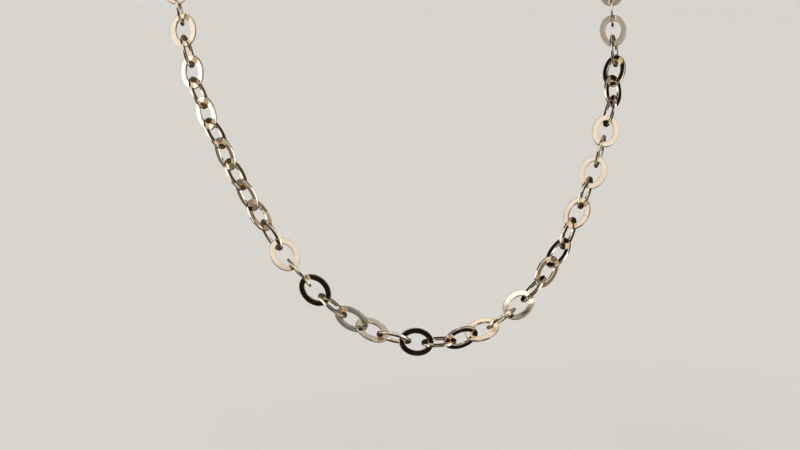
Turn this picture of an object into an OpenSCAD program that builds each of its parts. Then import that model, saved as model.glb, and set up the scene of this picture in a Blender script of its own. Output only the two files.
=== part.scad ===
/* [Links] */
// Length of one link over its ends
link_len = 9.65; // [9.4:0.05:10.4]
// Width of one link over its sides
link_w = 7.65; // [7:0.05:8.2]
// Width of the flat band that a link is cut from
link_band = 1.55; // [1.2:0.05:1.6]
// Thickness of a link
link_t = 0.65; // [0.5:0.05:0.7]
// Bevel along the edges of a link
link_bevel = 0.1; // [0.05:0.01:0.15]
// Play between two links where they hook into each other
link_play = 0.25; // [0.25:0.01:0.35]
// Number of links in the whole chain
link_count = 69; // [61:4:69]

/* [Hang] */
// How far the middle link sits past the lowest point of the loop
middle_shift = 0.95; // [-3:0.05:3]

/* [Clasp] */
// Length of the clasp from ring to ring
clasp_pitch = 13.8; // [12:0.1:15]
// Width of the clasp body
clasp_w = 6.4; // [5.6:0.1:8]
// Thickness of the clasp body
clasp_t = 1.6; // [1.2:0.1:1.8]
// Width of the bar that the clasp body is bent from
clasp_band = 1.5; // [1.2:0.1:1.6]
// Hole in the eye at the tail of the clasp
eye_hole = 1.8; // [1.7:0.1:2]
// Wall around that hole
eye_wall = 0.8; // [0.7:0.1:1]

/* [Rings] */
// Inner diameter of the two end rings
ring_in = 5.0; // [4.8:0.1:5.4]
// Diameter of the wire of the end rings
ring_wire = 1.0; // [0.8:0.1:1]

/* [Hidden] */
$fn = 48;

// Half of the worn loop, from its lowest point in front up to the nape, to the
// viewer's right. The other half is its mirror image. Height 0 is at the nape.
// Columns: across, depth (front is negative), height
HALF_LOOP = [
    [0, -47, -114],
    [19, -45, -109],
    [34, -39, -97],
    [44.5, -32, -81.5],
    [53, -25, -65],
    [59, -14.5, -49.5],
    [61.5, -3, -33],
    [63, 7, -16],
    [61.5, 21, -6],
    [52, 34, -2],
    [36, 42, -0.5],
    [18, 46.5, 0],
    [0, 48, 0]
];

// Turn of the links about the strand, on top of the quarter turn from one to the next.
// Columns: link number from the middle link, counted to the viewer's right, slow twist
// of the strand in degrees, lean of neighbouring links towards each other in degrees
TURNS = [
    [-34, 0, 0],
    [-21, 10, 0],
    [-19, 32, 6],
    [-16, 60, 9],
    [-14, 75, 11],
    [-12, 82, 13],
    [-10, 92, 11],
    [-8, 130, -2],
    [-6, 158, -3],
    [-4, 192, -8],
    [-2, 232, -4],
    [0, 273, 4],
    [2, 303, 10],
    [4, 313, 10],
    [5, 327, 3],
    [6, 344, -10],
    [8, 355, -8],
    [9, 358, -4],
    [10, 366, 5],
    [12, 367, 4],
    [13, 372, 0],
    [14, 393, 8],
    [16, 417, 8],
    [18, 430, 0],
    [20, 438, 0],
    [34, 540, 0]
];

function unit(v) = v / norm(v);

// Places along the loop where the pieces hook into each other. The whole loop is as
// long as its links, its two end rings and its clasp need
pitch = link_len - 2 * link_band - link_play;
ring_r = ring_in / 2;
ring_free = ring_r - link_play / 2;
ring_to_link = sqrt(ring_free * ring_free - link_t * link_t / 4);
ring_to_clasp = sqrt(ring_free * ring_free - clasp_t * clasp_t / 4);
ring_pitch = ring_to_link + ring_to_clasp;
loop_len = link_count * pitch + 2 * ring_pitch + clasp_pitch;
chain_start = (clasp_pitch + 2 * ring_pitch) / 2 + middle_shift;
chain_end = chain_start + link_count * pitch;
clasp_start = chain_end + ring_pitch;
clasp_end = clasp_start + clasp_pitch;

// Closed path of the worn loop: a smooth curve through the stations
half_n = len(HALF_LOOP);
LOOP = [
    for (i = [half_n - 1 : -1 : 1]) [-HALF_LOOP[i].x, HALF_LOOP[i].y, HALF_LOOP[i].z],
    for (i = [0 : half_n - 2]) HALF_LOOP[i]
];
loop_n = len(LOOP);
path_steps = 24;

function station(i) = LOOP[(i + loop_n) % loop_n];

function on_curve(a, b, c, d, s) =
    (2 * b + (c - a) * s + (2 * a - 5 * b + 4 * c - d) * s * s
    + (3 * b - a - 3 * c + d) * s * s * s) / 2;

PATH = [
    for (i = [0 : loop_n], k = [0 : path_steps - 1])
        on_curve(station(i - 1), station(i), station(i + 1), station(i + 2), k / path_steps)
];

// Running length along the path, from the nape over the viewer's left side to the front
function running(points, i = 1, sums = [0]) =
    i >= len(points) ? sums
    : running(points, i + 1, concat(sums, sums[i - 1] + norm(points[i] - points[i - 1])));

RUN = running(PATH);
fit = loop_len / RUN[loop_n * path_steps];
ALONG_X = [for (i = [0 : len(PATH) - 1]) [RUN[i] * fit, PATH[i].x * fit]];
ALONG_Y = [for (i = [0 : len(PATH) - 1]) [RUN[i] * fit, PATH[i].y * fit]];
ALONG_Z = [for (i = [0 : len(PATH) - 1]) [RUN[i] * fit, PATH[i].z * fit]];

function wrapped(u) = u - loop_len * floor(u / loop_len);

function path_at(u) = [
    lookup(wrapped(u), ALONG_X),
    lookup(wrapped(u), ALONG_Y),
    lookup(wrapped(u), ALONG_Z)
];

// Square to the direction, pointing away from the neck
function away_from_neck(p, along) =
    let (out = unit([p.x, p.y, 0]))
    unit(out - (out * along) * along);

function turned(v, along, angle) = v * cos(angle) + cross(along, v) * sin(angle);

TWIST = [for (row = TURNS) [row[0], row[1]]];
LEAN = [for (row = TURNS) [row[0], row[2]]];
end_link = (link_count - 1) / 2;

// Links are numbered from the middle link, from -end_link to end_link
function link_turn(i) = 90 * i + lookup(i, TWIST) + (i % 2 == 0 ? -1 : 1) * lookup(i, LEAN);

function link_from(i) = chain_start + (i + end_link) * pitch;

// Puts a piece whose length runs along X and whose face looks along Z between two
// points of the loop. With no turn its face looks away from the neck
module between(u_a, u_b, turn) {
    a = path_at(u_a);
    b = path_at(u_b);
    along = unit(b - a);
    mid = (a + b) / 2;
    face = turned(away_from_neck(mid, along), along, turn);
    side = cross(face, along);
    multmatrix([
        [along.x, side.x, face.x, mid.x],
        [along.y, side.y, face.y, mid.y],
        [along.z, side.z, face.z, mid.z],
        [0, 0, 0, 1]
    ]) children();
}

// Bar of a flat ring in section, with bevelled edges, at a distance from the axis
module bar_section(r, band, t, bevel) {
    x = band / 2;
    y = t / 2;
    translate([r, 0])
        polygon([
            [-x, bevel - y], [bevel - x, -y], [x - bevel, -y], [x, bevel - y],
            [x, y - bevel], [x - bevel, y], [bevel - x, y], [-x, y - bevel]
        ]);
}

module arc_bar(r, from, to, band, t, bevel) {
    rotate_extrude(angle = to - from, start = from) bar_section(r, band, t, bevel);
}

// Flat oval ring of even width, drawn as a 3-4-5 oval: four arcs whose centres
// form triangles with sides in the ratio 3 to 4 to 5
module oval_ring(length, width, band, t, bevel) {
    a = (length - band) / 2;
    b = (width - band) / 2;
    k = (a - b) / 2;
    corner = atan(4 / 3);
    for (m = [0, 1], n = [0, 1]) mirror([m, 0, 0]) mirror([0, n, 0])
        translate([3 * k, 0, 0]) arc_bar(b - k, 0, corner, band, t, bevel);
    for (m = [0, 1]) mirror([0, m, 0])
        translate([0, -4 * k, 0]) arc_bar(b + 4 * k, corner, 180 - corner, band, t, bevel);
}

// Ring of even width with two straight sides and two half-round ends
module oblong_ring(length, width, band, t, bevel) {
    end_r = (width - band) / 2;
    straight = length - width;
    for (m = [0, 1], n = [0, 1]) mirror([m, 0, 0]) mirror([0, n, 0])
        translate([straight / 2, 0, 0]) arc_bar(end_r, 0, 90, band, t, bevel);
    for (side = [-1, 1])
        translate([-straight / 2, side * end_r, 0]) rotate([90, 0, 90])
            linear_extrude(straight) bar_section(0, band, t, bevel);
}

module link() {
    oval_ring(link_len, link_w, link_band, link_t, link_bevel);
}

module links(first, last) {
    for (i = [first : last])
        between(link_from(i), link_from(i + 1), link_turn(i)) link();
}

// The two halves of the chain meet where the middle link hooks into the one before it
module chain_left() {
    color("palegoldenrod") links(-end_link, -1);
}

module chain_right() {
    color("khaki") links(0, end_link);
}

// Parrot clasp as one plain piece that lies flat on the nape: a closed body, an eye at
// its tail and the tip of its lever
clasp_bevel = 0.35;
eye_out = eye_hole + 2 * eye_wall;
eye_t = 1.2;
eye_x = (eye_hole - link_play - clasp_pitch) / 2;
eye_sunk = 0.5;
tip_x = (clasp_pitch + link_play) / 2 + clasp_band;
tail_x = eye_x + eye_out / 2 - eye_sunk;
lever_tip_d = 2;
lever_tip_h = 1.2;
lever_tip_x = -1;

module clasp_body() {
    translate([(tip_x + tail_x) / 2, 0, 0])
        oblong_ring(tip_x - tail_x, clasp_w, clasp_band, clasp_t, clasp_bevel);
}

module clasp_eye() {
    difference() {
        translate([eye_x, 0, -eye_t / 2]) cylinder(d = eye_out, h = eye_t);
        translate([eye_x, 0, -eye_t]) cylinder(d = eye_hole, h = 2 * eye_t);
    }
}

module clasp() {
    color("goldenrod") between(clasp_start, clasp_end, 0) {
        clasp_body();
        clasp_eye();
        translate([lever_tip_x, clasp_w / 2, -lever_tip_h / 2])
            cylinder(d = lever_tip_d, h = lever_tip_h);
    }
}

// An end ring stands square to the clasp and to the end link that it joins, or halfway
// between the two where that link isn't flat
function from_flat(turn) = turn - 180 * round(turn / 180);

module end_ring(u_a, u_b, link_i) {
    color("gold") between(u_a, u_b, 90 + from_flat(link_turn(link_i)) / 2)
        rotate_extrude() translate([ring_r + ring_wire / 2, 0]) circle(d = ring_wire);
}

module clasp_ring() {
    end_ring(chain_end, clasp_start, end_link);
}

module catch_ring() {
    end_ring(clasp_end, chain_start + loop_len, -end_link);
}

chain_left();
chain_right();
clasp();
clasp_ring();
catch_ring();
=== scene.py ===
"""Looks of a flat oval rolo chain in polished pale gold, worn as a whole loop, over a plain pale floor."""

import math

import bmesh
import bpy
import numpy as np
from mathutils import Matrix, Vector


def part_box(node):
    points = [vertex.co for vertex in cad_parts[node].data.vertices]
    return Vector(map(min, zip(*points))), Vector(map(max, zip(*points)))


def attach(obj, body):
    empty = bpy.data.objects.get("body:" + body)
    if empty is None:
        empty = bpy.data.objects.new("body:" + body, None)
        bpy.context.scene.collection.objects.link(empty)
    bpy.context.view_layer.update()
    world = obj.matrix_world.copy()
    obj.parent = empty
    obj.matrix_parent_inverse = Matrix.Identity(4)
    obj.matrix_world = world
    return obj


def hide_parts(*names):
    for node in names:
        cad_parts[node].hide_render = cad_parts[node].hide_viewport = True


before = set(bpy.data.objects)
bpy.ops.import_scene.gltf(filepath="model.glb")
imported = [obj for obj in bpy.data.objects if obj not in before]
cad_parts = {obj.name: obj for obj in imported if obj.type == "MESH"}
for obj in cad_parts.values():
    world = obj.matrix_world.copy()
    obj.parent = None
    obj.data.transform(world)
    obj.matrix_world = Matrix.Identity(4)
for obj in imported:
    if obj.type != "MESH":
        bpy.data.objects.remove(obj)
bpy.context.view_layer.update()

MM = 0.001
DEG = math.pi / 180


# Helpers

def linear(hex_colour):
    """Turns an sRGB hex value such as #F2D9B5 into a linear colour with alpha."""
    parts = [int(hex_colour[i:i + 2], 16) / 255 for i in (1, 3, 5)]
    return [c / 12.92 if c <= 0.04045 else ((c + 0.055) / 1.055) ** 2.4 for c in parts] + [1.0]


def add(tree, kind, inputs=None, **settings):
    """Adds a node with its settings. An input, by name or number, is linked to a socket or set to a value."""
    node = tree.nodes.new(kind)
    for name, value in settings.items():
        setattr(node, name, value)
    for key, value in (inputs or {}).items():
        if isinstance(value, bpy.types.NodeSocket):
            tree.links.new(value, node.inputs[key])
        else:
            node.inputs[key].default_value = value
    return node


def show(name, mesh):
    """Puts a mesh in the scene as an object at the origin."""
    piece = bpy.data.objects.new(name, mesh)
    bpy.context.scene.collection.objects.link(piece)
    return piece


def finish_piece(piece, slot, *nodes):
    """A finished piece rides with the necklace and stands for its CAD nodes."""
    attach(piece, "root")
    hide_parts(*nodes)


# Camera

CAMERA_PLACE = (-0.13636, -0.60275, 0.07224)
LOOKS_RIGHT = 12.8 * DEG
LOOKS_DOWN = 15.0 * DEG
ROLL = 0.4 * DEG
LENS = 100
SENSOR = 36
NEAREST, FARTHEST = 0.01, 20


def set_camera():
    """The camera of the photograph, as fitted to its links: a long lens from the front, a little to the left
    and above."""
    ahead = Vector((
        math.sin(LOOKS_RIGHT) * math.cos(LOOKS_DOWN),
        math.cos(LOOKS_RIGHT) * math.cos(LOOKS_DOWN),
        -math.sin(LOOKS_DOWN),
    ))
    level = Vector((math.cos(LOOKS_RIGHT), -math.sin(LOOKS_RIGHT), 0))
    upright = level.cross(ahead)
    right = level * math.cos(ROLL) + upright * math.sin(ROLL)
    up = upright * math.cos(ROLL) - level * math.sin(ROLL)
    lens = bpy.data.cameras.new("camera")
    lens.lens = LENS
    lens.sensor_width = SENSOR
    lens.sensor_fit = "HORIZONTAL"
    lens.clip_start = NEAREST
    lens.clip_end = FARTHEST
    camera = bpy.data.objects.new("camera", lens)
    turn = Matrix((right, up, -ahead)).transposed()
    camera.matrix_world = Matrix.Translation(CAMERA_PLACE) @ turn.to_4x4()
    bpy.context.scene.collection.objects.link(camera)
    bpy.context.scene.camera = camera


set_camera()


# Places, read from the CAD

def solids_of(node):
    """Vertices and triangles of each loose solid of a CAD node."""
    work = bmesh.new()
    work.from_mesh(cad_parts[node].data)
    bmesh.ops.remove_doubles(work, verts=work.verts, dist=1e-6)
    bmesh.ops.triangulate(work, faces=work.faces)
    seen = set()
    solids = []
    for first in work.verts:
        if first in seen:
            continue
        seen.add(first)
        found, faces, waiting = [], set(), [first]
        while waiting:
            vert = waiting.pop()
            found.append(vert)
            faces.update(vert.link_faces)
            for edge in vert.link_edges:
                other = edge.other_vert(vert)
                if other not in seen:
                    seen.add(other)
                    waiting.append(other)
        points = np.array([v.co for v in found])
        corners = np.array([[v.co for v in f.verts] for f in faces])
        solids.append((points, corners))
    work.free()
    return solids


def own_axes(points, corners):
    """Centre of a solid, its axes from the longest to the shortest, and its size along each. The axes come
    from the ways in which its faces look, weighted by their area."""
    across = np.cross(corners[:, 1] - corners[:, 0], corners[:, 2] - corners[:, 0])
    area = np.linalg.norm(across, axis=1)
    looks = np.einsum("ni,nj->ij", across / area[:, None], across)
    axes = np.linalg.eigh(looks)[1].T
    along = points @ axes.T
    low, high = along.min(0), along.max(0)
    order = np.argsort(low - high)
    middle = (low + high) / 2 @ axes
    return Vector(middle), [Vector(axis) for axis in axes[order]], (high - low)[order]


def link_places(node, end):
    """Places of the links of a CAD node, in order from the one nearest to a point."""
    links = [own_axes(*solid) for solid in solids_of(node)]
    ordered = []
    here = end
    while links:
        nearest = min(links, key=lambda link: (link[0] - here).length)
        links.remove(nearest)
        ordered.append(nearest)
        here = nearest[0]
    return ordered


def node_middle(node):
    """Middle of the box round a CAD node."""
    low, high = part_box(node)
    return (low + high) / 2


def turn_to(along, face):
    """Rotation whose X axis runs along, and whose Z axis looks where face does."""
    side = face.cross(along).normalized()
    return Matrix((along, side, along.cross(side))).transposed()


RING_AT_CLASP = node_middle("clasp_ring")
RING_AT_CATCH = node_middle("catch_ring")


# Materials

# Sizes of the patterns in the gold, in mm. A drift of its tone, handling marks, and buffing lines, which are
# given by how many there are to the mm along the band, across it and up
DRIFT_SIZE = 4.0
MARK_SIZE = 0.9
LINES_PER_MM = (0.12, 4.0, 4.0)
# Width of a solder seam to each side, and how deep it is sunk
SEAM_WIDTH = 0.14
SEAM_DEPTH = 0.01
# How much paler and rougher the gold gets at seams and at edges. At the edges the rougher gold is wear, and
# the paler colour is a painted highlight where rounded edges catch light
SEAM_HEX = "#F3E9DA"
SEAM_ROUGHER = 0.12
EDGE_HIGHLIGHT_HEX = "#F8EEDD"
EDGE_HIGHLIGHT_SHARE = 0.5
WORN_ROUGHER = 0.16


def gold(name, face_hex, deep_hex, roughness, line_depth, seam_at=None):
    """Fourteen carat yellow gold, tumbled and buffed to a mirror. It gives the eye sharp, pale reflections,
    warmer where they are dim, and under them the faint lines of the buff. A soldered seam, if there is one,
    lies across the band at a distance in mm along it, a little paler and sunk."""
    made = bpy.data.materials.new(name)
    made.use_nodes = True
    tree = made.node_tree
    tree.nodes.clear()
    place = add(tree, "ShaderNodeTexCoord").outputs["Object"]
    # Mask of the edges, for their wear and their painted highlight: sharp ridges on a cast piece, and an
    # attribute that the links carry
    if seam_at is None:
        band = add(tree, "ShaderNodeVectorMath", {0: place, "Scale": 1 / MM}, operation="SCALE").outputs[0]
        ridge = add(tree, "ShaderNodeNewGeometry").outputs["Pointiness"]
        worn = add(tree, "ShaderNodeMapRange", {
            "Value": ridge, "From Min": 0.51, "From Max": 0.56}).outputs[0]
    else:
        band = add(tree, "ShaderNodeUVMap", uv_map="band").outputs[0]
        worn = add(tree, "ShaderNodeAttribute", attribute_name="worn").outputs["Fac"]
    # Tone of the alloy drifts a little over a few millimetres
    drift = add(tree, "ShaderNodeTexNoise", {
        "Vector": place, "Scale": 1 / (DRIFT_SIZE * MM), "Detail": 2.0}).outputs["Fac"]
    tone = add(tree, "ShaderNodeMapRange", {"Value": drift, "From Min": 0.35, "From Max": 0.7}).outputs[0]
    colour = add(tree, "ShaderNodeMix", {
        0: tone, 6: linear(face_hex), 7: linear(deep_hex)}, data_type="RGBA").outputs[2]
    # Buffing lines, as coarse as they need to be to show. Real ones are finer than the eye can part
    lines_at = add(tree, "ShaderNodeMapping", {"Vector": band, "Scale": LINES_PER_MM}).outputs[0]
    lines = add(tree, "ShaderNodeTexNoise", {"Vector": lines_at, "Scale": 1.0, "Detail": 3.0}).outputs["Fac"]
    # Light handling marks and breath of grease
    marks = add(tree, "ShaderNodeTexNoise", {
        "Vector": place, "Scale": 1 / (MARK_SIZE * MM), "Detail": 6.0}).outputs["Fac"]
    shine = add(tree, "ShaderNodeMapRange", {
        "Value": marks, "From Min": 0.3, "From Max": 0.75,
        "To Min": roughness * 0.6, "To Max": roughness * 1.5,
    }).outputs[0]
    relief = add(tree, "ShaderNodeBump", {
        "Height": lines, "Strength": 1.0, "Distance": line_depth}).outputs[0]
    # Edges rub against each other and against skin, which leaves them a little duller. They are also painted
    # paler, a painted highlight where rounded edges catch light
    pale = add(tree, "ShaderNodeMath", {0: worn, 1: EDGE_HIGHLIGHT_SHARE}, operation="MULTIPLY").outputs[0]
    colour = add(tree, "ShaderNodeMix", {
        0: pale, 6: colour, 7: linear(EDGE_HIGHLIGHT_HEX)}, data_type="RGBA").outputs[2]
    shine = add(tree, "ShaderNodeMath", {
        0: worn, 1: WORN_ROUGHER, 2: shine}, operation="MULTIPLY_ADD").outputs[0]
    if seam_at is not None:
        # The solder line is a tenth of a millimetre wide on the real one, and wider here so that it shows
        run = add(tree, "ShaderNodeSeparateXYZ", {0: band}).outputs["X"]
        off = add(tree, "ShaderNodeMath", {0: run, 1: seam_at}, operation="SUBTRACT").outputs[0]
        off = add(tree, "ShaderNodeMath", {0: off}, operation="ABSOLUTE").outputs[0]
        line = add(tree, "ShaderNodeMapRange", {
            "Value": off, "From Min": SEAM_WIDTH, "From Max": SEAM_WIDTH / 4,
        }, interpolation_type="SMOOTHSTEP").outputs[0]
        soldered = add(tree, "ShaderNodeAttribute", attribute_name="soldered").outputs["Fac"]
        seam = add(tree, "ShaderNodeMath", {0: line, 1: soldered}, operation="MULTIPLY").outputs[0]
        colour = add(tree, "ShaderNodeMix", {
            0: seam, 6: colour, 7: linear(SEAM_HEX)}, data_type="RGBA").outputs[2]
        shine = add(tree, "ShaderNodeMath", {
            0: seam, 1: SEAM_ROUGHER, 2: shine}, operation="MULTIPLY_ADD").outputs[0]
        relief = add(tree, "ShaderNodeBump", {
            "Height": seam, "Strength": 0.35, "Distance": SEAM_DEPTH * MM, "Normal": relief,
        }, invert=True).outputs[0]
    metal = add(tree, "ShaderNodeBsdfPrincipled", {
        "Base Color": colour, "Metallic": 1.0, "Roughness": shine, "Normal": relief,
    })
    add(tree, "ShaderNodeOutputMaterial", {"Surface": metal.outputs[0]})
    return made


# Sizes in mm that the materials and the pieces share
LINK_LENGTH = 9.65
BAND_WIDTH = 1.55
RING_R = 3.0
# Length of the UV map round a link, for each mm of the link's length
ROUND_BY_LENGTH = math.pi * 0.75
# Both seams are a quarter of the way round: in the middle of a link's long side, and at the side of a ring
LINK_SEAM = LINK_LENGTH * ROUND_BY_LENGTH / 4
RING_SEAM = RING_R * math.pi / 2

# Plate that is stamped, tumbled and buffed. Its flat faces mirror sharply
LINK_GOLD = gold("Stamped_polished_gold", "#F4E4CE", "#F0DBBE", 0.07, 0.0012 * MM, LINK_SEAM)
# Wire that is drawn, bent and buffed. It is a little warmer and duller, with lines that run along it
WIRE_GOLD = gold("Drawn_gold_wire", "#F2DCBD", "#ECD0A8", 0.09, 0.0015 * MM, RING_SEAM)
# Gold that is cast, filed and buffed by hand. Its reflections are the softest of the three
CAST_GOLD = gold("Cast_polished_gold", "#F2DCBD", "#ECD0A8", 0.11, 0.0020 * MM)


# Links

STEPS_AROUND = 72
STEPS_ACROSS = 24
# Inputs of the link tree besides its points, by name and kind of socket
LINK_INPUTS = {
    "Length": "Float", "Width": "Float", "Band": "Float", "Thickness": "Float",
    "Steps Around": "Int", "Steps Across": "Int",
    "Dome": "Float", "Crease": "Float", "Unevenness": "Float", "Wave": "Float", "Seed": "Float",
    "Material": "Material",
}


def link_tree():
    """Geometry Nodes that bend a flat band into an oval link and set one on every point, turned as the point
    says."""
    tree = bpy.data.node_groups.new("Rolo links", "GeometryNodeTree")
    face = tree.interface
    face.new_socket("Geometry", in_out="INPUT", socket_type="NodeSocketGeometry")
    for name, kind in LINK_INPUTS.items():
        face.new_socket(name, in_out="INPUT", socket_type="NodeSocket" + kind)
    face.new_socket("Geometry", in_out="OUTPUT", socket_type="NodeSocketGeometry")
    given = add(tree, "NodeGroupInput").outputs

    # Sheet that becomes the skin of one link: X runs round the oval and Y round the section of its band
    around = add(tree, "ShaderNodeMath", {0: given["Steps Around"], 1: 1.0}, operation="ADD").outputs[0]
    across = add(tree, "ShaderNodeMath", {0: given["Steps Across"], 1: 1.0}, operation="ADD").outputs[0]
    sheet = add(tree, "GeometryNodeMeshGrid", {
        "Size X": 1.0, "Size Y": 1.0, "Vertices X": around, "Vertices Y": across,
    })
    # UV map in millimetres: along the band, and round its section
    section = add(tree, "ShaderNodeMath", {
        0: given["Band"], 1: given["Thickness"]}, operation="ADD").outputs[0]
    girth = add(tree, "ShaderNodeMath", {0: section, 1: 2.0}, operation="MULTIPLY").outputs[0]
    oval = add(tree, "ShaderNodeMath", {
        0: given["Length"], 1: ROUND_BY_LENGTH}, operation="MULTIPLY").outputs[0]
    spread = add(tree, "ShaderNodeCombineXYZ", {"X": oval, "Y": girth}).outputs[0]
    in_mm = add(tree, "ShaderNodeVectorMath", {0: spread, "Scale": 1 / MM}, operation="SCALE").outputs[0]
    uv = add(tree, "ShaderNodeVectorMath", {
        0: sheet.outputs["UV Map"], 1: in_mm}, operation="MULTIPLY").outputs[0]
    skin = add(tree, "GeometryNodeStoreNamedAttribute", {
        "Geometry": sheet.outputs["Mesh"], "Name": "band", "Value": uv,
    }, data_type="FLOAT2", domain="CORNER").outputs[0]

    # Angle round the oval, and angle round the section with its first line half a step on
    at = add(tree, "ShaderNodeSeparateXYZ", {0: add(tree, "GeometryNodeInputPosition").outputs[0]}).outputs
    angle = add(tree, "ShaderNodeMath", {0: at["X"], 1: math.tau}, operation="MULTIPLY").outputs[0]
    half_step = add(tree, "ShaderNodeMath", {
        0: math.pi, 1: given["Steps Across"]}, operation="DIVIDE").outputs[0]
    roll = add(tree, "ShaderNodeMath", {
        0: at["Y"], 1: math.tau, 2: half_step}, operation="MULTIPLY_ADD").outputs[0]

    # Wear, and the painted highlight that makes the gold paler, are strongest where the section turns from a
    # face to a wall
    twice = add(tree, "ShaderNodeMath", {0: roll, 1: 2.0}, operation="MULTIPLY").outputs[0]
    turning = add(tree, "ShaderNodeMath", {0: twice}, operation="SINE").outputs[0]
    turning = add(tree, "ShaderNodeMath", {0: turning}, operation="ABSOLUTE").outputs[0]
    edge_wear_and_highlight = add(tree, "ShaderNodeMapRange", {
        "Value": turning, "From Min": 0.3, "From Max": 0.96}).outputs[0]
    skin = add(tree, "GeometryNodeStoreNamedAttribute", {
        "Geometry": skin, "Name": "worn", "Value": edge_wear_and_highlight}, data_type="FLOAT", domain="POINT").outputs[0]

    # Section of the band: flat faces, and walls and edges that tumbling has rounded. Columns: wave, size,
    # power that squares it, and how many steps its flat reaches to each side
    sides = []
    for wave, size, power, flat_steps in (("COSINE", "Band", 0.12, 0.5), ("SINE", "Thickness", 0.5, 1.5)):
        swing = add(tree, "ShaderNodeMath", {0: roll}, operation=wave).outputs[0]
        amount = add(tree, "ShaderNodeMath", {0: swing}, operation="ABSOLUTE").outputs[0]
        rounded = add(tree, "ShaderNodeMath", {0: amount, 1: power}, operation="POWER").outputs[0]
        # The flat starts a hair early, so that rounding errors leave nothing of it below its full size
        fullest = math.cos(flat_steps * math.tau / STEPS_ACROSS) ** power
        flat = add(tree, "ShaderNodeMath", {0: rounded, 1: 1.0001 / fullest}, operation="MULTIPLY").outputs[0]
        flat = add(tree, "ShaderNodeMath", {0: flat, 1: 1.0}, operation="MINIMUM").outputs[0]
        sign = add(tree, "ShaderNodeMath", {0: swing}, operation="SIGN").outputs[0]
        share = add(tree, "ShaderNodeMath", {0: flat, 1: sign}, operation="MULTIPLY").outputs[0]
        half = add(tree, "ShaderNodeMath", {0: given[size], 1: 0.5}, operation="MULTIPLY").outputs[0]
        sides.append(add(tree, "ShaderNodeMath", {0: share, 1: half}, operation="MULTIPLY").outputs[0])
    outward, upward = sides

    # Middle line of the band: four arcs whose centres form triangles with sides in the ratio 3 to 4 to 5. An
    # arc gives way to the next where the cosine is 3/5. With k a quarter of length less width, the end arcs
    # have their centres 3 k out, and the side arcs theirs 4 k across, and their radii differ by 5 k
    cosine = add(tree, "ShaderNodeMath", {0: angle}, operation="COSINE").outputs[0]
    sine = add(tree, "ShaderNodeMath", {0: angle}, operation="SINE").outputs[0]
    steep = add(tree, "ShaderNodeMath", {0: cosine}, operation="ABSOLUTE").outputs[0]
    at_end = add(tree, "ShaderNodeMath", {0: steep, 1: 0.6}, operation="GREATER_THAN").outputs[0]
    at_side = add(tree, "ShaderNodeMath", {0: 1.0, 1: at_end}, operation="SUBTRACT").outputs[0]
    longer = add(tree, "ShaderNodeMath", {
        0: given["Length"], 1: given["Width"]}, operation="SUBTRACT").outputs[0]
    k = add(tree, "ShaderNodeMath", {0: longer, 1: 0.25}, operation="MULTIPLY").outputs[0]
    inner = add(tree, "ShaderNodeMath", {
        0: given["Width"], 1: given["Band"]}, operation="SUBTRACT").outputs[0]
    narrow = add(tree, "ShaderNodeMath", {0: inner, 1: 0.5}, operation="MULTIPLY").outputs[0]
    wide_r = add(tree, "ShaderNodeMath", {0: k, 1: 4.0, 2: narrow}, operation="MULTIPLY_ADD").outputs[0]
    less = add(tree, "ShaderNodeMath", {0: k, 1: -5.0}, operation="MULTIPLY").outputs[0]
    radius = add(tree, "ShaderNodeMath", {0: less, 1: at_end, 2: wide_r}, operation="MULTIPLY_ADD").outputs[0]
    centre = []
    for wave, share, times in ((cosine, at_end, 3.0), (sine, at_side, -4.0)):
        sign = add(tree, "ShaderNodeMath", {0: wave}, operation="SIGN").outputs[0]
        step = add(tree, "ShaderNodeMath", {0: k, 1: times}, operation="MULTIPLY").outputs[0]
        way = add(tree, "ShaderNodeMath", {0: sign, 1: step}, operation="MULTIPLY").outputs[0]
        centre.append(add(tree, "ShaderNodeMath", {0: way, 1: share}, operation="MULTIPLY").outputs[0])
    reach = add(tree, "ShaderNodeMath", {0: radius, 1: outward}, operation="ADD").outputs[0]
    x = add(tree, "ShaderNodeMath", {0: reach, 1: cosine, 2: centre[0]}, operation="MULTIPLY_ADD").outputs[0]
    y = add(tree, "ShaderNodeMath", {0: reach, 1: sine, 2: centre[1]}, operation="MULTIPLY_ADD").outputs[0]

    # A stamped link is a very shallow dome, lower at its rim than in its middle, and as high on the whole as
    # the flat one that it stands for
    square = add(tree, "ShaderNodeMath", {0: y, 1: y}, operation="MULTIPLY").outputs[0]
    square = add(tree, "ShaderNodeMath", {0: x, 1: x, 2: square}, operation="MULTIPLY_ADD").outputs[0]
    half_long = add(tree, "ShaderNodeMath", {0: given["Length"], 1: 0.5}, operation="MULTIPLY").outputs[0]
    full = add(tree, "ShaderNodeMath", {0: half_long, 1: 2.0}, operation="POWER").outputs[0]
    share = add(tree, "ShaderNodeMath", {0: square, 1: full}, operation="DIVIDE").outputs[0]
    down = add(tree, "ShaderNodeMath", {0: 0.6, 1: share}, operation="SUBTRACT").outputs[0]
    height = add(tree, "ShaderNodeMath", {
        0: down, 1: given["Dome"], 2: upward}, operation="MULTIPLY_ADD").outputs[0]
    bent_to = add(tree, "ShaderNodeCombineXYZ", {"X": x, "Y": y, "Z": height}).outputs[0]
    bent = add(tree, "GeometryNodeSetPosition", {"Geometry": skin, "Position": bent_to}).outputs[0]
    closed = add(tree, "GeometryNodeMergeByDistance", {"Geometry": bent, "Distance": 1e-6}).outputs[0]
    smooth = add(tree, "GeometryNodeSetShadeSmooth", {"Geometry": closed, "Shade Smooth": True}).outputs[0]
    # The flat faces end in a crease, so that they mirror as flats right up to it
    bend = add(tree, "GeometryNodeInputMeshEdgeAngle").outputs["Unsigned Angle"]
    crease = add(tree, "ShaderNodeMath", {0: bend, 1: given["Crease"]}, operation="GREATER_THAN").outputs[0]
    creased = add(tree, "GeometryNodeSetShadeSmooth", {
        "Geometry": smooth, "Selection": crease, "Shade Smooth": False}, domain="EDGE").outputs[0]

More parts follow.
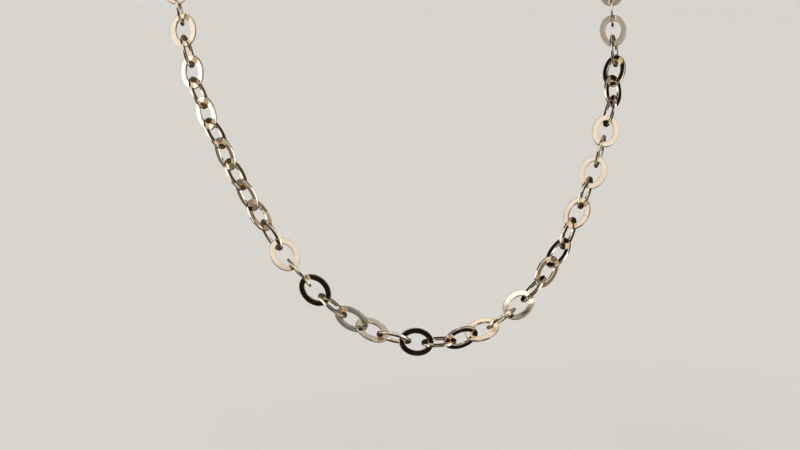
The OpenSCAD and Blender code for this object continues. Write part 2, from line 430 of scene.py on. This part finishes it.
    # One link on every point
    turn = add(tree, "GeometryNodeInputNamedAttribute", {"Name": "turn"}, data_type="QUATERNION").outputs[0]
    placed_links = add(tree, "GeometryNodeInstanceOnPoints", {
        "Points": given["Geometry"], "Instance": creased, "Rotation": turn,
    }).outputs[0]
    real = add(tree, "GeometryNodeRealizeInstances", {"Geometry": placed_links}).outputs[0]

    # Stamping and tumbling leave every face a little out of true
    here = add(tree, "GeometryNodeInputPosition").outputs[0]
    wave_scale = add(tree, "ShaderNodeMath", {0: 1.0, 1: given["Wave"]}, operation="DIVIDE").outputs[0]
    bumps = add(tree, "ShaderNodeTexNoise", {
        "Vector": here, "W": given["Seed"], "Scale": wave_scale, "Detail": 0.0,
    }, noise_dimensions="4D").outputs[0]
    centred = add(tree, "ShaderNodeMath", {0: bumps, 1: 0.5}, operation="SUBTRACT").outputs[0]
    amount = add(tree, "ShaderNodeMath", {
        0: centred, 1: given["Unevenness"]}, operation="MULTIPLY").outputs[0]
    normal = add(tree, "GeometryNodeInputNormal").outputs[0]
    push = add(tree, "ShaderNodeVectorMath", {0: normal, "Scale": amount}, operation="SCALE").outputs[0]
    uneven = add(tree, "GeometryNodeSetPosition", {"Geometry": real, "Offset": push}).outputs[0]
    done = add(tree, "GeometryNodeSetMaterial", {
        "Geometry": uneven, "Material": given["Material"]}).outputs[0]
    add(tree, "NodeGroupOutput", {"Geometry": done})
    return tree


LINK_TREE = link_tree()
# What the links of both halves of the chain share
LINK_SETTINGS = {
    "Band": BAND_WIDTH * MM, "Steps Around": STEPS_AROUND, "Steps Across": STEPS_ACROSS,
    "Dome": 0.045 * MM, "Crease": 32 * DEG, "Unevenness": 0.016 * MM, "Wave": 4.5 * MM,
    "Material": LINK_GOLD,
}


def set_links(name, places, seed):
    """Makes one piece of all the links that stand at these places."""
    centres = [place[0] for place in places]
    points = bpy.data.meshes.new(name + "_points")
    points.from_pydata(centres, [], [])
    # The turns are all set before the next attribute is made, which moves this one in memory
    turns = points.attributes.new("turn", "QUATERNION", "POINT")
    for i, (centre, axes, _) in enumerate(places):
        ahead = centres[min(i + 1, len(centres) - 1)] - centres[max(i - 1, 0)]
        along = axes[0] if axes[0].dot(ahead) > 0 else -axes[0]
        out = Vector((centre.x, centre.y, 0))
        face = axes[2] if axes[2].dot(out) > 0 else -axes[2]
        turns.data[i].value = turn_to(along, face).to_quaternion()
    # Every second link is stamped whole, and those between are cut, hooked in and soldered
    soldered = points.attributes.new("soldered", "FLOAT", "POINT")
    soldered.data.foreach_set("value", [float(i % 2) for i in range(len(places))])
    length, width, thickness = np.median([place[2] for place in places], axis=0)
    holder = show(name + "_points", points)
    maker = holder.modifiers.new("links", "NODES")
    maker.node_group = LINK_TREE
    settings = LINK_SETTINGS | {
        "Length": float(length), "Width": float(width), "Thickness": float(thickness), "Seed": seed,
    }
    for socket in LINK_TREE.interface.items_tree:
        if socket.in_out == "INPUT" and socket.name in settings:
            maker[socket.identifier] = settings[socket.name]
    bpy.context.view_layer.update()
    evaluated = holder.evaluated_get(bpy.context.evaluated_depsgraph_get())
    mesh = bpy.data.meshes.new_from_object(evaluated)
    mesh.name = name
    holder.modifiers.remove(maker)
    bpy.data.objects.remove(holder)
    return show(name, mesh)


LEFT = link_places("chain_left", RING_AT_CATCH)
RIGHT = link_places("chain_right", RING_AT_CLASP)
finish_piece(set_links("links_left", LEFT, 1.0), "links", "chain_left")
finish_piece(set_links("links_right", RIGHT, 2.0), "links", "chain_right")


# Skins of bars and round parts

ROUND_STEPS = 32
# Angles, in degrees, of the sections that round off the open end of a bar
CAP_ANGLES = (25, 50, 70, 84)


def arc(centre_x, radius, start, end, count):
    """Points of an arc about (centre_x, 0) in the plane of a piece, angles in degrees."""
    return [(centre_x + radius * math.cos(a), radius * math.sin(a))
            for a in np.linspace(start * DEG, end * DEG, count)]


def tube(count, steps, closed=False):
    """Faces of a tube through rings of points. Its ends are filled, unless it closes on itself."""
    faces = []
    for i in range(count if closed else count - 1):
        here, there = i * steps, (i + 1) % count * steps
        faces += [(here + j, here + (j + 1) % steps, there + (j + 1) % steps, there + j)
                  for j in range(steps)]
    if not closed:
        faces += [tuple(range(steps))[::-1], tuple(range((count - 1) * steps, count * steps))]
    return faces


def swept(path, sizes, power=1.0, closed=False, blunt=0.5, steps=24):
    """Skin of a bar along a path in its own plane, in mm. Sizes are its half width in that plane and its half
    height, by point. A power of 1 gives a round section and a lower one a squarer. Open ends are rounded off,
    by the share of the half width that blunt gives."""
    path, sizes = np.array(path), np.array(sizes)
    if closed:
        ahead = np.roll(path, -1, 0) - np.roll(path, 1, 0)
    else:
        caps = []
        for end, inner in ((0, 1), (-1, -2)):
            out = path[end] - path[inner]
            out = out / np.linalg.norm(out) * sizes[end][0] * blunt
            caps.append([(path[end] + out * math.sin(a * DEG), sizes[end] * math.cos(a * DEG))
                         for a in CAP_ANGLES])
        before, after = caps[0][::-1], caps[1]
        path = np.array([cap[0] for cap in before] + list(path) + [cap[0] for cap in after])
        sizes = np.array([cap[1] for cap in before] + list(sizes) + [cap[1] for cap in after])
        ahead = np.gradient(path, axis=0)
    ahead = ahead / np.linalg.norm(ahead, axis=1)[:, None]
    roll = (np.arange(steps) + 0.5) * math.tau / steps
    wide = np.sign(np.cos(roll)) * np.abs(np.cos(roll)) ** power
    high = np.sign(np.sin(roll)) * np.abs(np.sin(roll)) ** power
    verts = [
        (x + way[1] * size[0] * w, y - way[0] * size[0] * w, size[1] * h)
        for (x, y), way, size in zip(path, ahead, sizes) for w, h in zip(wide, high)
    ]
    return verts, tube(len(path), steps, closed)


def turned(x, y, profile):
    """Skin of a round part whose axis runs along Z through (x, y), from its radii and heights in mm, lowest
    first."""
    verts = [(x + radius * math.cos(a), y + radius * math.sin(a), z)
             for radius, z in profile for a in np.arange(ROUND_STEPS) * math.tau / ROUND_STEPS]
    return verts, tube(len(profile), ROUND_STEPS)


def placed(mesh, place):
    """Brings a mesh from mm in its own frame to metres in the shared one, its faces outward and smooth."""
    work = bmesh.new()
    work.from_mesh(mesh)
    bmesh.ops.recalc_face_normals(work, faces=work.faces)
    work.transform(place @ Matrix.Scale(MM, 4))
    for face in work.faces:
        face.smooth = True
    work.to_mesh(mesh)
    work.free()
    return mesh


# Clasp

# Size of the voxels that fuse a casting, in mm, and how often its joins are softened
VOXEL = 0.07
SOFTENING = 7

# The clasp in its own frame, in mm: X from the ring at its eye to the ring that it holds, Z away from the
# neck. Its bar runs round two half circles, one at its tail and one at its tip
TAIL_X, TIP_X, BAR_R = -1.725, 5.325, 2.45
BAR = (0.72, 0.76)
EYE_X, EYE_R = -6.125, 1.3
EYE_BAR = (0.39, 0.56)
EYE_STEPS = 48
NOSE_X = 4.58
# The gate hangs on a rivet and ends short of the nose
PIVOT_ANGLE = 120
PIVOT = (TAIL_X + BAR_R * math.cos(PIVOT_ANGLE * DEG), BAR_R * math.sin(PIVOT_ANGLE * DEG))
GATE_GAP = 0.09
TONGUE = 0.38
CHEEK_R, CHEEK_IN, CHEEK_OUT = 0.84, 0.45, 0.77
# Power that squares the section of a bar, and how little its cut ends are rounded
SQUARE = 0.62
CUT_END = 0.16
# How far the middle of the CAD clasp lies from its origin: it reaches 7.825 and 8.525 mm along its length,
# and 3.2 and 4.2 mm across
CLASP_MIDDLE_AT = (0.35, 0.5, 0)


def cast(name, shells, place):
    """A cast piece: overlapping skins fused into one, their joins softened as casting and polishing do."""
    verts, faces = [], []
    for shell_verts, shell_faces in shells:
        start = len(verts)
        verts += shell_verts
        faces += [tuple(start + i for i in face) for face in shell_faces]
    rough = bpy.data.meshes.new(name + "_rough")
    rough.from_pydata(verts, [], faces)
    holder = show(name + "_rough", rough)
    fused = holder.modifiers.new("fused", "REMESH")
    fused.mode = "VOXEL"
    fused.voxel_size = VOXEL
    softened = holder.modifiers.new("softened", "SMOOTH")
    softened.factor = 0.5
    softened.iterations = SOFTENING
    bpy.context.view_layer.update()
    mesh = bpy.data.meshes.new_from_object(holder.evaluated_get(bpy.context.evaluated_depsgraph_get()))
    mesh.name = name
    bpy.data.objects.remove(holder)
    mesh.materials.clear()
    mesh.materials.append(CAST_GOLD)
    return show(name, placed(mesh, place))


def clasp_place():
    """Frame of the clasp, from the CAD."""
    solids = solids_of("clasp")
    middle, (along, side, face), _ = own_axes(*max(solids, key=lambda solid: len(solid[0])))
    if along.dot(RING_AT_CATCH - RING_AT_CLASP) < 0:
        along = -along
    if face.dot(Vector((middle.x, middle.y, 0))) < 0:
        face = -face
    turn = turn_to(along, face)
    origin = middle - turn @ Vector(CLASP_MIDDLE_AT) * MM
    return Matrix.Translation(origin) @ turn.to_4x4()


def clasp_body():
    """Fixed part of the clasp: eye, back, hook and the two cheeks that hold the gate."""
    path = arc(TAIL_X, BAR_R, PIVOT_ANGLE + 19, 270, 30)
    path += [(x, -BAR_R) for x in np.linspace(TAIL_X + 0.3, TIP_X - 0.3, 22)]
    path += arc(TIP_X, BAR_R, -90, 90, 40) + [(x, BAR_R) for x in np.linspace(TIP_X - 0.1, NOSE_X, 5)]
    share = np.linspace(0, 1, len(path))
    # The back is fullest in its middle, and the hook gets slimmer towards its nose
    full = 1.0 - 0.22 * np.clip((share - 0.62) / 0.38, 0, 1) ** 1.5
    bar = swept(path, [(BAR[0] * f, BAR[1] * f) for f in full], SQUARE, blunt=CUT_END)
    eye_path = [(EYE_X + x, y) for x, y in arc(0, EYE_R, 0, 357, EYE_STEPS)]
    eye = swept(eye_path, [EYE_BAR] * EYE_STEPS, 0.8, closed=True)
    neck = swept([(-5.0, 0), (-4.7, 0), (-4.4, 0)], [(0.78, 0.56), (0.86, 0.62), (0.95, 0.7)], SQUARE)
    cheeks = [turned(*PIVOT, [(CHEEK_R, low), (CHEEK_R, high)])
              for low, high in ((CHEEK_IN, CHEEK_OUT), (-CHEEK_OUT, -CHEEK_IN))]
    return [bar, eye, neck] + cheeks


def clasp_gate():
    """Moving side of the clasp with its thumb tab. Its root is a tongue between the two cheeks."""
    path = arc(TAIL_X, BAR_R, PIVOT_ANGLE + 12, 92, 14)
    path += [(x, BAR_R) for x in np.linspace(TAIL_X + 0.2, NOSE_X - 0.12 - GATE_GAP, 26)]
    # It thickens from the tongue to the full bar just past the cheeks, and gets slimmer towards the nose
    thick = np.clip((np.arange(len(path)) - 11.3) / 2.5, 0, 1)
    slim = np.linspace(0.68, 0.56, len(path))
    sizes = [(s, TONGUE + t * (s - TONGUE)) for s, t in zip(slim, thick)]
    bar = swept(path, sizes, SQUARE, blunt=CUT_END)
    tab = swept([(0.1, 2.55), (-0.35, 2.95), (-0.8, 3.3), (-1.25, 3.58), (-1.6, 3.74)],
                [(0.62, 0.60), (0.56, 0.60), (0.48, 0.60), (0.40, 0.58), (0.32, 0.54)], 0.75, blunt=0.8)
    return [bar, tab]


def clasp_rivet(place):
    """Rivet through cheeks and gate, with a low domed head on both faces."""
    rise = [(0.40, 0.60), (0.40, 0.80), (0.47, 0.80), (0.45, 0.85), (0.36, 0.895), (0.22, 0.92), (0.08, 0.93)]
    verts, faces = turned(*PIVOT, [(r, -z) for r, z in reversed(rise)] + rise)
    mesh = bpy.data.meshes.new("clasp_rivet")
    mesh.from_pydata(verts, [], faces)
    mesh.materials.append(CAST_GOLD)
    return show("clasp_rivet", placed(mesh, place))


CLASP = clasp_place()
finish_piece(cast("clasp_body", clasp_body(), CLASP), "findings", "clasp")
finish_piece(cast("clasp_gate", clasp_gate(), CLASP), "findings", "clasp")
finish_piece(clasp_rivet(CLASP), "findings", "clasp")


# End rings

WIRE_R = 0.5
RING_STEPS = 120
WIRE_STEPS = 24


def wire_ring(name, node, towards):
    """Round ring of drawn wire, closed by a soldered seam at its side."""
    middle, (_, _, axis), _ = own_axes(*solids_of(node)[0])
    ahead = towards - middle
    ahead = (ahead - axis * ahead.dot(axis)).normalized()
    turn = turn_to(ahead, axis)
    path = arc(0, RING_R, 0, 360 - 360 / RING_STEPS, RING_STEPS)
    # Filed flush with the wire on both sides of the seam, which is sunk a little
    off = (np.arange(RING_STEPS) / RING_STEPS - 0.25) * math.tau * RING_R
    wire = WIRE_R - 0.012 * np.exp(-(off / 0.1) ** 2) - 0.008 * np.exp(-(off / 0.6) ** 2)
    verts, faces = swept(path, [(r, r) for r in wire], closed=True, steps=WIRE_STEPS)
    mesh = bpy.data.meshes.new(name)
    mesh.from_pydata(verts, [], faces)
    # UV map in millimetres: along the wire, and round it
    band = mesh.uv_layers.new(name="band")
    long, girth = math.tau * RING_R / RING_STEPS, math.tau * WIRE_R / WIRE_STEPS
    for face in mesh.polygons:
        i, j = divmod(face.index, WIRE_STEPS)
        for loop, (u, v) in zip(face.loop_indices, ((i, j), (i, j + 1), (i + 1, j + 1), (i + 1, j))):
            band.data[loop].uv = (u * long, v * girth)
    soldered = mesh.attributes.new("soldered", "FLOAT", "POINT")
    soldered.data.foreach_set("value", [1.0] * len(mesh.vertices))
    mesh.materials.append(WIRE_GOLD)
    return show(name, placed(mesh, Matrix.Translation(middle) @ turn.to_4x4()))


finish_piece(wire_ring("ring_at_eye", "clasp_ring", CLASP.translation), "findings", "clasp_ring")
finish_piece(wire_ring("ring_at_hook", "catch_ring", CLASP.translation), "findings", "catch_ring")


# Floor and light

FLOOR_Z = -0.16
FLOOR_REACH = 3.0
BOARD_HEX = "#D9D7D2"
# What the camera sees past the board, and what the gold mirrors where there is no soft box
BACKDROP_HEX = "#C9C7C3"
DARK_ROOM_HEX = "#1E1913"
LAMP_ENERGY = 1.9
LAMP_SPREAD = 40 * DEG
LAMP_TURN = (-12 * DEG, -18 * DEG, 0)


def painted_board():
    """Matt painted board. It is pale and even, with a fine grain under the paint."""
    made = bpy.data.materials.new("Painted_board")
    made.use_nodes = True
    tree = made.node_tree
    tree.nodes.clear()
    place = add(tree, "ShaderNodeTexCoord").outputs["Object"]
    # Grain of the roller, about a millimetre across and a tenth deep
    grain = add(tree, "ShaderNodeTexNoise", {"Vector": place, "Scale": 900.0, "Detail": 3.0}).outputs["Fac"]
    relief = add(tree, "ShaderNodeBump", {"Height": grain, "Strength": 0.3, "Distance": 0.1 * MM}).outputs[0]
    board = add(tree, "ShaderNodeBsdfPrincipled", {
        "Base Color": linear(BOARD_HEX), "Roughness": 0.85, "Normal": relief,
    })
    add(tree, "ShaderNodeOutputMaterial", {"Surface": board.outputs[0]})
    return made


floor_mesh = bpy.data.meshes.new("floor")
floor_mesh.from_pydata(
    [(x * FLOOR_REACH, y * FLOOR_REACH, FLOOR_Z) for x, y in ((-1, -1), (1, -1), (1, 1), (-1, 1))],
    [], [(0, 1, 2, 3)])
floor_mesh.materials.append(painted_board())
floor = show("floor", floor_mesh)
# The gold is lit as in a dark room, so it doesn't mirror the pale board
floor.visible_glossy = False

# A wide lamp overhead that lights the board alone
lamp = bpy.data.lights.new("board_lamp", "SUN")
lamp.energy = LAMP_ENERGY
lamp.angle = LAMP_SPREAD
board_lamp = bpy.data.objects.new("board_lamp", lamp)
board_lamp.rotation_euler = LAMP_TURN
bpy.context.scene.collection.objects.link(board_lamp)
only_board = bpy.data.collections.new("board")
only_board.objects.link(floor)
board_lamp.light_linking.receiver_collection = only_board

# Soft boxes and reflectors round the necklace, by the direction that they are seen in. Azimuth 0 is in
# front of it and positive to the viewer's right. Where they overlap, their light adds up, and a negative
# radiance takes light away, for a gap in a box.
# Columns: name, azimuth from and to, elevation from and to, soft edge, all in degrees, radiance, colour
SOFT_BOXES = (
    ("key", -92, 14, 26, 51, 3, 0.90, "#FFFFFF"),
    ("key_left", -92, -66, 22, 33, 3, 0.15, "#FFFFFF"),
    ("key_upper", -40, 16, 51, 59, 3, 0.97, "#FFFFFF"),
    ("key_dim", -64, -40, 50, 67, 3, 0.40, "#FBFFFF"),
    ("key_gap", -12.5, -1.5, 34, 49, 2, -0.66, "#FFFFFF"),
    ("crown", -28, -10, 64.7, 76, 1.4, 1.60, "#FFFFFF"),
    ("crown_dim", -40, -13.3, 59, 64.7, 1.4, 0.34, "#FFFFFF"),
    ("side_left", -118, -72, -13, 22, 5, 1.80, "#FAFFFF"),
    ("side_left_low", -126, -88, -36, -14, 6, 0.18, "#FFFAF0"),
    ("front_grey", -31, -7, 4, 27, 4, 0.18, "#F0FFFA"),
    ("right_mid", 70, 110, 17, 45, 6, 0.36, "#FFFAF0"),
    ("right_high", 82, 124, 48, 67, 6, 0.50, "#FFFDFA"),
    ("overhead", -164, -112, 68, 85, 3, 0.85, "#FFFDF8"),
    ("right_low", 58, 84, -28, -10, 5, 0.20, "#FFF6E4"),
    ("low_front_left", -88, -38, -68, -36, 6, 0.20, "#F4FFFF"),
    ("low_front_right", 30, 52, -62, -36, 6, 0.35, "#FFFAF4"),
    ("strip_right", 50, 69, -46, 52, 4, 2.20, "#FFFFFF"),
    ("low_front", -24, 28, -78, -48, 8, 0.90, "#FFFCF6"),
    ("low_front_dim", -30, 28, -46, -18, 6, 0.26, "#FFFCF6"),
    ("fill_right", 14, 47, 26, 72, 6, 0.60, "#FFFCF6"),
    ("fill_right_high", 47, 62, 46, 74, 5, 0.60, "#FFFCF6"),
    ("crown_right", 1, 16, 61, 76, 4, 0.65, "#FFFCF6"),
    ("left_high", -92, -74, 58, 74, 5, 0.45, "#FFFCF6"),
    ("front_right", 26, 54, -30, 28, 6, 0.80, "#FFFCF6"),
    ("strip_left", -74, -56, -34, 22, 5, 1.50, "#FFFFFF"),
    ("backdrop", 162, 188, -27, -14, 8, 0.30, "#FFFAF2"),
    ("back_fill", 146, 214, -36, -6, 14, 0.14, "#FFEFD4"),
    ("back_left_fill", -132, -104, -66, -42, 10, 0.30, "#FFF3DE"),
    ("back_key", 150, 222, 36, 56, 10, 0.30, "#FFF3DE"),
    ("back_low", 112, 196, -60, -8, 10, 0.02, "#FFE0A6"),
    ("back_high", 114, 204, 58, 82, 10, 0.32, "#FFF0D8"),
    ("right_low_back", 87, 103, -48, -25, 5, 0.55, "#FFF6E4"),
    ("right_back", 112, 162, -10, 22, 14, 0.075, "#FFDFA6"),
)


def studio():
    """World of soft boxes in a dark room, in which the camera itself sees a pale backdrop."""
    world = bpy.data.worlds.new("studio")
    world.use_nodes = True
    tree = world.node_tree
    tree.nodes.clear()
    way = add(tree, "ShaderNodeSeparateXYZ", {
        0: add(tree, "ShaderNodeTexCoord").outputs["Generated"]}).outputs
    ahead = add(tree, "ShaderNodeMath", {0: way["Y"], 1: -1.0}, operation="MULTIPLY").outputs[0]
    azimuth = add(tree, "ShaderNodeMath", {0: way["X"], 1: ahead}, operation="ARCTAN2").outputs[0]
    elevation = add(tree, "ShaderNodeMath", {0: way["Z"]}, operation="ARCSINE").outputs[0]
    light = linear(DARK_ROOM_HEX)[:3]
    for name, left, right, bottom, top, edge, radiance, colour in SOFT_BOXES:
        level = radiance
        for angle, start, end in ((azimuth, left, right), (elevation, bottom, top)):
            middle = (start + end) / 2 * DEG
            off = add(tree, "ShaderNodeMath", {0: angle, 1: middle}, operation="SUBTRACT").outputs[0]
            off = add(tree, "ShaderNodeMath", {0: off, 1: math.pi, 2: -math.pi}, operation="WRAP").outputs[0]
            off = add(tree, "ShaderNodeMath", {0: off}, operation="ABSOLUTE").outputs[0]
            inside = add(tree, "ShaderNodeMapRange", {
                "Value": off, "From Min": (end - start + edge) / 2 * DEG,
                "From Max": (end - start - edge) / 2 * DEG,
            }, interpolation_type="SMOOTHSTEP").outputs[0]
            level = add(tree, "ShaderNodeMath", {0: inside, 1: level}, operation="MULTIPLY").outputs[0]
        light = add(tree, "ShaderNodeVectorMath", {
            0: linear(colour)[:3], 1: level, 2: light}, operation="MULTIPLY_ADD", label=name).outputs[0]
    seen = add(tree, "ShaderNodeLightPath").outputs["Is Camera Ray"]
    shade = add(tree, "ShaderNodeMix", {0: seen, 6: light, 7: linear(BACKDROP_HEX)}, data_type="RGBA")
    room = add(tree, "ShaderNodeBackground", {"Color": shade.outputs[2], "Strength": 1.0})
    add(tree, "ShaderNodeOutputWorld", {"Surface": room.outputs[0]})
    return world


bpy.context.scene.world = studio()
bpy.context.scene.view_settings.view_transform = "Standard"
